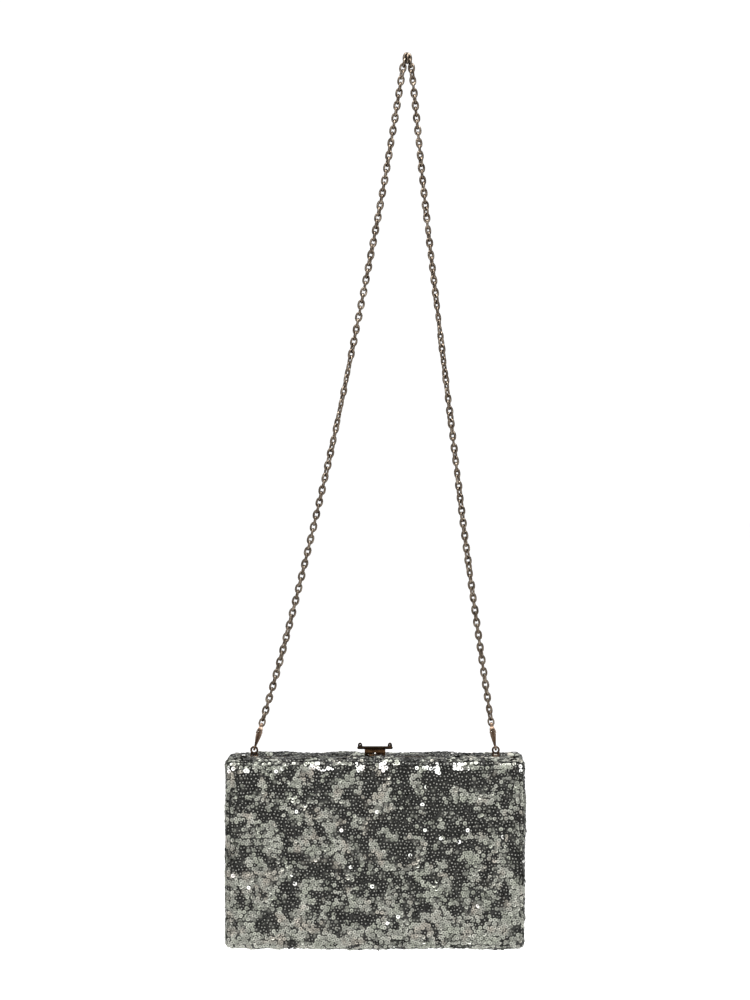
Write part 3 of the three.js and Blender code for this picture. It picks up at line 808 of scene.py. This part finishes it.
sequin = {
    "radius": 1.45,
    "hole": 0.52,
    "cup": 0.16,
    "pit": 0.1,
    "sides": 10,
    "rowStep": 2.42,
    "alongStep": 2.36,
    "jitter": 0.42,
    "lift": 0.3,
    "scaleTilt": 0.08,
    "patchTilt": 0.14,
    "loneTilt": 0.11,
    "patches": ((41, 22, 7.0, 22.0), (42, 22, 7.0, 22.0)),
    "sizeSpread": 0.035,
    "heightSpread": 0.34,
    "slopeStep": 0.6,
    "waver": ((0.5, 9), (0.6, 13)),
    "faceMargin": 0.6,
    "wallFrom": 1.25,
    "wallLeast": 1.1,
    "edgeMargin": 0.9,
}
# Settings for the sequins' tone: painted reflection patches, then painted glint clusters and lone glints.
tones = {
    "warps": ((70, 12, 14, 40), (71, 12, 14, 40), (72, 12, 14, 40)),
    "warpReach": 3.2,
    "field": (77, 44, 7.0, 25.0),
    "middle": 0.19,
    "rise": 0.74,
    "sides": 1.2,
    "foot": 2.1,
    "footFrom": 0.55,
    "drift": (91, 10, 60, 140),
    "driftShare": 0.22,
    "mix": (95, 8, 30, 70),
    "noise": (0.42, 1.0),
    "steepness": 6.5,
    "dark": 0.15,
    "span": 0.56,
    "spread": 0.055,
    "most": 0.86,
    "glintCluster": (97, 18, 7.0, 19.0),
    "clusterNoise": 0.4,
    "clusterLow": 5.6,
    "clusterBand": 3.2,
    "clusterLeast": 0.7,
    "facing": 0.55,
    "paintedSparkle": 0.006,
}


def sequinShape():
    # Rings of points: the rim, the edge of the hole sunk by the cup, and the thread's dot in the middle.
    angle = np.linspace(0, 2 * np.pi, sequin["sides"], endpoint=False)
    circle = np.stack([np.cos(angle), np.sin(angle), 0 * angle], axis=1)
    down = np.array([0, 0, 1.0])
    rim = circle * sequin["radius"]
    hole = circle * sequin["hole"] - down * sequin["cup"]
    middle = -down[None] * (sequin["cup"] + sequin["pit"])
    points = np.vstack([rim, hole, middle])
    count = sequin["sides"]
    first = np.arange(count)
    after = (first + 1) % count
    ringFaces = np.stack([first, after, after + count, first + count], axis=1)
    dotFaces = np.stack([first + count, after + count, np.full(count, 2 * count)], axis=1)
    radial = np.concatenate([np.zeros(count), np.ones(count), [2.0]])
    return points, ringFaces, dotFaces, radial


def reflectedToneOf(flat, normal, random):
    # Painted reflection: warped waves against a threshold that rises with height and falls towards the sides
    # make light and dark patches, more mixed above. The light patches stand for sequins reflecting the
    # bright floor and ceiling, the dark ones for sequins reflecting the dim room in front. Painted
    # highlights: sequins turn white in clusters where a second set of waves is high on the upper edge, and
    # at random as lone glints.
    shifts = [waves(flat, *warp) for warp in tones["warps"]]
    field = waves(flat + np.stack(shifts, axis=1) * tones["warpReach"], *tones["field"])
    height = flat[:, 2] / bag["halfHeight"]
    sides = (np.abs(flat[:, 0]) / bag["halfWidth"]) ** 6
    foot = np.clip(-height - tones["footFrom"], 0, 1)
    # Painted reflection: the threshold decides which sequins are painted light. Fewer are light higher up,
    # and more towards the sides and near the foot, where the floor would be reflected.
    threshold = tones["middle"] + tones["rise"] * height - tones["sides"] * sides - tones["foot"] * foot
    threshold = threshold + tones["driftShare"] * waves(flat, *tones["drift"])
    low, high = tones["noise"]
    mixed = low + (high - low) * np.clip(0.5 + 0.6 * height + 0.25 * waves(flat, *tones["mix"]), 0, 1)
    margin = field - threshold + mixed * random.normal(size=len(flat))
    share = 1 / (1 + np.exp(-tones["steepness"] * margin))
    tone = tones["dark"] + tones["span"] * share + random.normal(0, tones["spread"], len(flat))
    # Painted highlights: along the upper edge of the front and rear faces, sequins where a second set of
    # waves is high are made white as glints of the overhead light.
    glintBand = np.exp(-((flat[:, 2] - bag["halfHeight"] + tones["clusterLow"]) / tones["clusterBand"]) ** 2)
    glintBand = glintBand * (np.abs(normal[:, 1]) > tones["facing"])
    glintCluster = waves(flat, *tones["glintCluster"]) + tones["clusterNoise"] * random.normal(size=len(flat))
    # Painted glints: these clustered sequins and a few lone ones at random get tone 1, which the colour ramp
    # paints white.
    paintedGlint = (glintCluster * glintBand > tones["clusterLeast"]) | (random.random(len(flat)) < tones["paintedSparkle"])
    return np.where(paintedGlint, 1.0, np.clip(tone, 0.0, tones["most"]))


def sewnOn(name, flat, normal, seed, body):
    # Copies of the sequin on the swollen skin, each tipped down the row, with its patch and on its own.
    random = np.random.default_rng(seed)
    step = sequin["slopeStep"]
    middle = swollen(flat, normal)
    side = unit(np.cross(normal, [0.0, 0.0, 1.0]) + np.array([1e-6, 0, 0]))
    up = np.cross(side, normal)
    slopeSide = ((swollen(flat + side * step, normal) - middle) * normal).sum(1) / step
    slopeUp = ((swollen(flat + up * step, normal) - middle) * normal).sum(1) / step
    patchSide, patchUp = (waves(flat, *patch) * sequin["patchTilt"] for patch in sequin["patches"])
    tipSide = patchSide + random.normal(0, sequin["loneTilt"], len(flat)) - slopeSide
    tipUp = patchUp + random.normal(0, sequin["loneTilt"], len(flat)) - slopeUp + sequin["scaleTilt"]
    facing = unit(normal + side * tipSide[:, None] + up * tipUp[:, None])
    across = unit(np.cross(up, facing))
    other = np.cross(facing, across)
    shape, ringFaces, dotFaces, radial = sequinShape()
    size = random.normal(1.0, sequin["sizeSpread"], len(flat))
    height = sequin["lift"] + random.uniform(0, sequin["heightSpread"], len(flat))
    axes = np.stack([across * size[:, None], other * size[:, None], facing], axis=1)
    points = (middle + normal * height[:, None])[:, None] + np.einsum("pk,nkx->npx", shape, axes)
    count = len(shape)
    faces = [repeated(ringFaces, len(flat), count), repeated(dotFaces, len(flat), count)]
    fields = {"tone": np.repeat(reflectedToneOf(flat, normal, random), count), "radial": np.tile(radial, len(flat))}
    piece = makePiece(name, points.reshape(-1, 3) + bagMiddle, faces, sequinFilm, fields)
    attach(piece, body)
    print(name, len(flat), "sequins")


def faceRows(seed):
    # Rows across the face, every other one half a step along, each sequin moved a little.
    reachX, reachZ = (half - cover["edge"] + sequin["faceMargin"] for half in cover["size"][:2])
    z = np.linspace(-reachZ, reachZ, round(2 * reachZ / sequin["rowStep"]) + 1)
    x = np.linspace(-reachX, reachX - sequin["alongStep"] / 2, round(2 * reachX / sequin["alongStep"]) + 1)
    gridZ, gridX = np.meshgrid(z, x, indexing="ij")
    gridX = gridX + (np.arange(len(z)) % 2)[:, None] * sequin["alongStep"] / 2
    random = np.random.default_rng(seed)
    (swayX, lengthX), (swayZ, lengthZ) = sequin["waver"]
    gridX = gridX + random.normal(0, sequin["jitter"], gridX.shape) + swayX * np.sin(gridZ / lengthX)
    gridZ = gridZ + random.normal(0, sequin["jitter"], gridZ.shape) + swayZ * np.sin(gridX / lengthZ + 1)
    return gridX.ravel(), gridZ.ravel()


def edgeRows(seed):
    # Rows round the outline from the parting edge up the wall and round the edge, as turn and profile place.
    wall = cover["halfDepth"] - cover["edge"] - bag["start"]
    arc = cover["edge"] * np.pi / 2
    first, last = sequin["wallFrom"], wall + arc - sequin["edgeMargin"]
    at = np.linspace(first, last, round((last - first) / sequin["rowStep"]) + 1)
    wide, high, corner = cover["size"]
    perimeter = 4 * (wide + high) - 8 * corner + 2 * np.pi * corner
    count = int(perimeter / sequin["alongStep"])
    random = np.random.default_rng(seed)
    turn = (np.arange(count)[None] + (np.arange(len(at)) % 2)[:, None] / 2) / count
    turn = turn + random.normal(0, sequin["jitter"], turn.shape) / perimeter
    place = at[:, None] + random.normal(0, sequin["jitter"] * 0.8, turn.shape)
    place = np.maximum(place, sequin["wallLeast"])
    lift = np.clip((place - wall) / arc, 0, 1) * np.pi / 2
    inset = cover["edge"] * (1 - np.cos(lift))
    depth = np.minimum(bag["start"] + place, bag["start"] + wall) + cover["edge"] * np.sin(lift)
    return turn.ravel(), inset.ravel(), depth.ravel(), lift.ravel()


for number, (name, half) in enumerate(halves.items()):
    outward = half["outward"]
    x, z = faceRows(100 + number)
    flat = np.stack([x, np.full(len(x), outward * cover["halfDepth"]), z], axis=1)
    normal = np.tile([0.0, float(outward), 0.0], (len(x), 1))
    sewnOn(f"{name}_face_sequins", flat, normal, 200 + number, half["body"])
    turn, inset, depth, lift = edgeRows(110 + number)
    flat, normal = skin(turn, inset, depth, lift, outward, cover["size"])
    sewnOn(f"{name}_edge_sequins", flat, normal, 210 + number, half["body"])


eyelet = {
    "ring": 2.1, "wire": 0.7, "footRadii": (2.6, 1.45, 0.8), "footRise": 0.45, "footPower": 0.85,
    "legSpread": 1.75, "legSplay": 0.35, "legRadius": 0.62, "voxel": 0.13, "passes": 4,
}


def makeEyelet(side):
    # A ring of wire and two legs from its sides down to a domed foot, fused together.
    low, high = corners(f"{side}_eyelet")
    x = (low[0] + high[0]) / 2
    ringZ = high[2] - eyelet["ring"] - eyeletWire
    footZ = corners("rear_frame")[1][2] + eyelet["footRise"]
    angle = np.linspace(0, 2 * np.pi, 40, endpoint=False)
    path = np.stack([np.cos(angle), 0 * angle, np.sin(angle)], axis=1) * eyelet["ring"] + [x, 0, ringZ]
    shells = [tubeAlong(path, eyelet["wire"], sideways(len(path)), 12, True)]
    t = np.linspace(0, 1, 9)
    for sign in (-1, 1):
        legX = x + sign * (eyelet["legSpread"] + eyelet["legSplay"] * (1 - t) ** 2)
        leg = np.stack([legX, 0 * t, footZ - 0.3 + (ringZ - footZ - 0.4) * t], axis=1)
        radius = eyelet["legRadius"] * np.concatenate([[0.0], 1.25 - 0.35 * t[1:-1], [0.0]])
        shells.append(tubeAlong(leg, radius, sideways(len(leg)), 10))
    shells.append(eggShape([x, 0, footZ], eyelet["footRadii"], 12, 24, eyelet["footPower"]))
    points, faces = together(shells)
    points[:, 1] += (low[1] + high[1]) / 2
    piece = sealed(makePiece(f"{side}_eyelet_ring", points, [faces], eyeletBronze))
    rider(cast(piece, eyelet["voxel"], eyelet["passes"]), f"{side}_eyelet")


for side in ("left", "right"):
    makeEyelet(side)
print("eyelets ready")


catch = {
    "barThickness": 1.8, "barPast": 0.3, "barSwell": 0.16, "voxel": 0.14, "passes": 3,
    "knobInset": 2.15, "knobRadii": (1.55, 1.15, 2.0), "knobForward": 0.9, "knobRise": 2.5,
    "dome": 0.42, "domeDepth": 0.35, "domeForward": 1.9, "domeRise": 2.9,
    "studRadii": (0.85, 0.4, 0.75), "studRise": 1.2,
}


def makeThumbBar():
    # A bar with a rounded section, thicker towards its ends, carrying an upright oval knob at each end.
    low, high = corners("thumb_bar")
    middle = (low + high) / 2
    half = (high[0] - low[0]) / 2 + catch["barPast"]
    t = np.linspace(-1, 1, 41)
    angle = np.linspace(0, 2 * np.pi, 24, endpoint=False)
    deep = (high[1] - low[1]) / 2
    close = (1 - np.abs(t) ** 14) ** 0.5
    section = np.stack([
        powered(np.cos(angle), 0.5) * deep,
        powered(np.sin(angle), 0.5) * catch["barThickness"] / 2,
    ], axis=1)
    swell = 1 + catch["barSwell"] * t ** 6
    narrow = (0.9 + 0.1 * close)[:, None]
    y = middle[1] + section[None, :, 0] * narrow * np.where(close > 0, 1, 0)[:, None]
    z = low[2] + catch["barThickness"] / 2 + section[None, :, 1] * (swell * close)[:, None]
    x = middle[0] + np.repeat((t * half)[:, None], len(angle), axis=1)
    shells = [(np.stack([x, y, z], axis=-1).reshape(-1, 3), gridFaces(len(t), len(angle), False, True))]
    # Painted highlights: small pale steel domes at the front of each knob stand in for the highlights there.
    # The domes are real shapes; their pale colour is a painted highlight.
    highlightDomes = []
    domeRadii = (catch["dome"] * 0.8, catch["domeDepth"], catch["dome"])
    for sign in (-1, 1):
        knobX = middle[0] + sign * (half - catch["knobInset"])
        knob = [knobX, middle[1] - catch["knobForward"], low[2] + catch["knobRise"]]
        shells.append(eggShape(knob, catch["knobRadii"], 16, 20))
        dome = [knobX, middle[1] - catch["domeForward"], low[2] + catch["domeRise"]]
        highlightDomes.append(eggShape(dome, domeRadii, 8, 14))
    points, faces = together(shells)
    piece = sealed(makePiece("thumb_bar_cast", points, [faces], darkBronze))
    rider(cast(piece, catch["voxel"], catch["passes"]), "thumb_bar")
    # Painted highlight: the pale steel stud on the latch lever stands in for a highlight on the catch.
    low, high = corners("latch_lever")
    stud = [(low[0] + high[0]) / 2, low[1] - 0.05, low[2] + catch["studRise"]]
    highlightDomes.append(eggShape(stud, catch["studRadii"], 8, 14))
    points, faces = together(highlightDomes)
    studs = sealed(makePiece("catch_highlight_studs", points, [faces], brightSteel))
    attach(studs, "latch")


makeThumbBar()
print("catch ready")


# node: finish, slot, bevel in millimetres
metalParts = {
    "rear_frame": (antiqueBrass, "antique_brass", 0.35),
    "front_frame": (antiqueBrass, "antique_brass", 0.35),
    "latch_bracket": (catchBronze, "antique_brass", 0.15),
    "latch_lever": (catchBronze, "antique_brass", 0.2),
    "catch_plate": (catchBronze, "antique_brass", 0.15),
    "latch_pin": (brightSteel, "steel", 0.1),
}
for side in ("left", "right"):
    for part in ("rear_leaf", "front_leaf"):
        metalParts[f"{side}_{part}"] = (antiqueBrass, "antique_brass", 0.12)
    for part in ("latch_screw", "catch_screw", "hinge_pin"):
        metalParts[f"{side}_{part}"] = (brightSteel, "steel", 0.08)
    metalParts[f"{side}_gate_pin"] = (brightSteel, "steel", 0.05)
    for half in ("rear", "front"):
        for letter in ("a", "b"):
            metalParts[f"{side}_{half}_rivet_{letter}"] = (brightSteel, "steel", 0.08)


def machined(node, finish, width):
    # The node's own shape with its edges rounded.
    piece = mergedCopy(node, f"{node}_machined", finish)
    edge = piece.modifiers.new("edge", "BEVEL")
    edge.width = width * mm
    edge.segments = 2
    edge.limit_method = "ANGLE"
    edge.angle_limit = math.radians(40)
    piece.data.shade_smooth()
    applied(piece)
    piece.data.set_sharp_from_angle(angle=math.radians(38))
    return rider(piece, node)


for node, (finish, slot, width) in metalParts.items():
    piece = machined(node, finish, width)

for node, finish in {"latch_spring": brightSteel, "rear_shell": board, "front_shell": board}.items():
    nodes[node].data.materials.clear()
    nodes[node].data.materials.append(finish)
print("metal parts ready")


gusset = {
    "wall": 95.6, "top": 54.0, "bottom": -56.5, "halfDepth": 9.5, "pleats": 6,
    "deepTop": 10.4, "deepBottom": 3.0, "thickness": 0.3, "area": 0.00985,
}


def thicken(piece, thickness):
    # Gives a sheet its thickness, half of it to each side.
    wall = piece.modifiers.new("cloth", "SOLIDIFY")
    wall.thickness = thickness * mm
    wall.offset = 0


def makeGusset(side, sign):
    # Accordion pleats: in from the wall by depth * (1 - cos) / 2 across the bag, deeper towards the top.
    v = np.linspace(0, 1, gusset["pleats"] * 12 + 1)[None]
    h = np.linspace(0, 1, 29)[:, None]
    depth = gusset["deepBottom"] + (gusset["deepTop"] - gusset["deepBottom"]) * h ** 0.9
    fold = 0.5 - 0.5 * np.cos(2 * np.pi * gusset["pleats"] * v)
    fold = fold + 0.06 * np.sin(4 * np.pi * gusset["pleats"] * v) * h
    y = gusset["halfDepth"] * (1 - 2 * v) + 0.25 * np.sin(7 * h + 9 * v) * np.sin(np.pi * v)
    z = gusset["bottom"] + (gusset["top"] - gusset["bottom"]) * h + 0.35 * np.sin(11 * v) * h
    points = np.stack([sign * (gusset["wall"] - depth * fold), y + 0 * h, z + 0 * v], axis=-1)
    piece = gridPiece(f"{side}_gusset_cloth", points, satin, False, sign > 0)
    thicken(piece, gusset["thickness"])
    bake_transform(piece)
    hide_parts(f"{side}_gusset")


makeGusset("left", -1)
makeGusset("right", 1)


hingeStrip = {
    "halfLength": 94.0, "halfDepth": 7.5, "low": -59.0, "high": -56.9, "slope": 3.2,
    "fold": 1.5, "foldReach": 1.3, "thickness": 0.3,
}


def makeHingeStrip():
    # Cloth over the hinge line: up from each lining by a smooth step, with a small fold in the middle.
    u = np.linspace(-1, 1, 95)[None]
    v = np.linspace(-1, 1, 31)[:, None]
    away = np.abs(v) * hingeStrip["halfDepth"]
    share = np.clip((hingeStrip["halfDepth"] - away) / hingeStrip["slope"], 0, 1)
    z = hingeStrip["low"] + (hingeStrip["high"] - hingeStrip["low"]) * share ** 2 * (3 - 2 * share)
    z = z + hingeStrip["fold"] * np.exp(-(away / hingeStrip["foldReach"]) ** 2)
    z = z + 0.12 * np.sin(37 * u + 3 * v)
    x = hingeStrip["halfLength"] * u + 0 * v
    points = np.stack([x, -hingeStrip["halfDepth"] * v + 0 * u, z], axis=-1)
    piece = gridPiece("hinge_strip", points, satin, False, True)
    thicken(piece, hingeStrip["thickness"])
    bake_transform(piece)


makeHingeStrip()


pocket = {
    "halfWidth": 55.0, "bottom": -50.0, "top": 20.0, "wall": 16.05, "slack": 2.4,
    "hem": 7.0, "thickness": 0.4, "stitch": 2.1, "stitchGap": 3.1, "stitchRadii": (0.16, 0.13),
    "sag": 1.2, "ripple": 0.1, "rippleWaves": (51, 12, 12, 40),
}


def pocketSkin(u, v):
    # u across from -1 to 1, v up from 0 to 1: the cloth leaves the lining towards the middle and the top.
    slack = pocket["slack"] * (1 - np.abs(u) ** 5) * np.clip(v, 0, 1) ** 0.7
    x = pocket["halfWidth"] * u
    sag = pocket["sag"] * (1 - u ** 2) * np.clip(v, 0, 1) ** 6
    z = pocket["bottom"] + (pocket["top"] - pocket["bottom"]) * v - sag
    flat = np.stack([x + 0 * v, 0 * x + 0 * v, z + 0 * x], axis=-1)
    y = pocket["wall"] - slack + pocket["ripple"] * waves(flat, *pocket["rippleWaves"])
    return flat + np.stack([0 * slack, y, 0 * slack], -1)


def makePocket():
    # The panel, turned over at the top and down behind itself for the hem.
    u = np.linspace(-1, 1, 57)[None]
    v = np.linspace(0, 1, 36)[:, None]
    panel = pocketSkin(u, v)
    turn = np.linspace(0, np.pi, 6)[1:-1, None, None]
    top = panel[-1:]
    over = top + np.concatenate([0 * turn, 0.3 - 0.3 * np.cos(turn), 0.3 * np.sin(turn)], axis=2)
    down = np.linspace(0, 1, 6)[:, None, None] * pocket["hem"]
    back = pocketSkin(u, 1 - down[:, :, 0] / (pocket["top"] - pocket["bottom"]))
    back = back + np.array([0, 0.6, 0])
    piece = gridPiece("slip_pocket_panel", np.concatenate([panel, over, back]), satin)
    thicken(piece, pocket["thickness"])
    return rider(piece, "slip_pocket")


def makeStitches():
    # Short capsules laid end to end along the hem, both sides and the bottom of the pocket.
    across = np.arange(-0.96, 0.961, pocket["stitchGap"] / pocket["halfWidth"])
    upward = np.arange(0.03, 0.9, pocket["stitchGap"] / (pocket["top"] - pocket["bottom"]))
    u = np.concatenate([across, across, np.full(len(upward), -0.965), np.full(len(upward), 0.965)])
    v = np.concatenate([np.full(len(across), 0.905), np.full(len(across), 0.025), upward, upward])
    along = np.repeat([[1.0, 0, 0], [0, 0, 1.0]], [2 * len(across), 2 * len(upward)], axis=0)
    centre = pocketSkin(u, v) - [0, 0.26, 0]
    body, faces = eggShape([0, 0, 0], (*pocket["stitchRadii"], pocket["stitch"] / 2), 6, 6)
    other = np.stack([along[:, 2], 0 * u, -along[:, 0]], axis=1)
    axes = np.stack([other, sideways(len(u)), along], axis=1)
    points = centre[:, None] + np.einsum("pk,nkx->npx", body, axes)
    piece = makePiece("pocket_stitches", points.reshape(-1, 3) + bagMiddle,
                      [repeated(faces, len(u), len(body))], thread)
    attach(sealed(piece), "rear_half")
    return piece


pocketPanel = makePocket()
makeStitches()
print("gussets and pocket ready")


floor = {"reach": 40000, "height": -720.0, "rows": 9}


def makeFloor():
    # A plain square far larger than the view, a little below the bag.
    side = np.linspace(-floor["reach"], floor["reach"], floor["rows"])
    x, y = np.meshgrid(side, side, indexing="ij")
    points = np.stack([x, y, np.full(x.shape, floor["height"])], axis=-1).reshape(-1, 3)
    made, shader, place = startFinish("paleFloor", {"Roughness": 0.9, "Specular IOR Level": 0.1})
    place.noise(3.0).ramp([(0.3, tint("fafafa")), (0.7, tint("fbfbfb"))]).feed(shader, "Base Color")
    makePiece("floor", points, [gridFaces(floor["rows"], floor["rows"])[:, ::-1]], made)


studio = {"level": 0.5, "behind": 0.38, "above": 0.3, "least": 0.1, "seen": 1.05}


def makeWorld():
    # White where it is seen directly; for reflections it is white above and behind, and dimmer in front.
    world = bpy.data.worlds.new("studio")
    scene.world = world
    world.use_nodes = True
    tree = world.node_tree
    start = Wire(tree)
    direction = start.node("ShaderNodeTexCoord", None, None, "Generated")
    backward = start.node("ShaderNodeSeparateXYZ", None, {0: direction}, 1)
    upward = start.node("ShaderNodeSeparateXYZ", None, {0: direction}, 2)
    level = studio["level"] + backward * studio["behind"] + upward * studio["above"]
    seen = start.node("ShaderNodeLightPath", None, None, "Is Camera Ray")
    grey = level.maths("MAXIMUM", level, studio["least"])
    strength = seen * studio["seen"] + (1 - seen) * grey
    strength.feed(tree.nodes["Background"], "Strength")
    tree.nodes["Background"].inputs["Color"].default_value = (1, 1, 1, 1)


# name: place, aim, width, height, watts
lamps = {
    "overhead": ((-0.05, -0.3, 0.5), (-0.02, 0.0, -0.47), 0.9, 0.3, 17),
    "key": ((-1.1, -1.9, 0.75), (-0.02, 0.0, -0.5), 1.0, 1.0, 23),
    "fill": ((1.3, -1.5, -0.1), (-0.02, 0.0, -0.5), 1.0, 1.2, 14),
}


def aimed(place, aim):
    # The turn that points a lamp's face from its place to its aim.
    return (Vector(aim) - Vector(place)).to_track_quat("-Z", "Y").to_euler()


makeFloor()
makeWorld()
for name, (place, aim, width, height, watts) in lamps.items():
    light = bpy.data.lights.new(name, "AREA")
    light.shape = "RECTANGLE"
    light.size = width
    light.size_y = height
    light.energy = watts
    lamp = bpy.data.objects.new(name, light)
    lamp.location = place
    lamp.rotation_euler = aimed(place, aim)
    scene.collection.objects.link(lamp)
ceiling = {"strength": 1.25, "spread": 50.0, "lean": 10.0}
light = bpy.data.lights.new("ceiling", "SUN")
light.energy = ceiling["strength"]
light.angle = math.radians(ceiling["spread"])
lamp = bpy.data.objects.new("ceiling", light)
lamp.rotation_euler = (-math.radians(ceiling["lean"]), 0, 0)
scene.collection.objects.link(lamp)
print("stage ready")

bpy.context.view_layer.update()
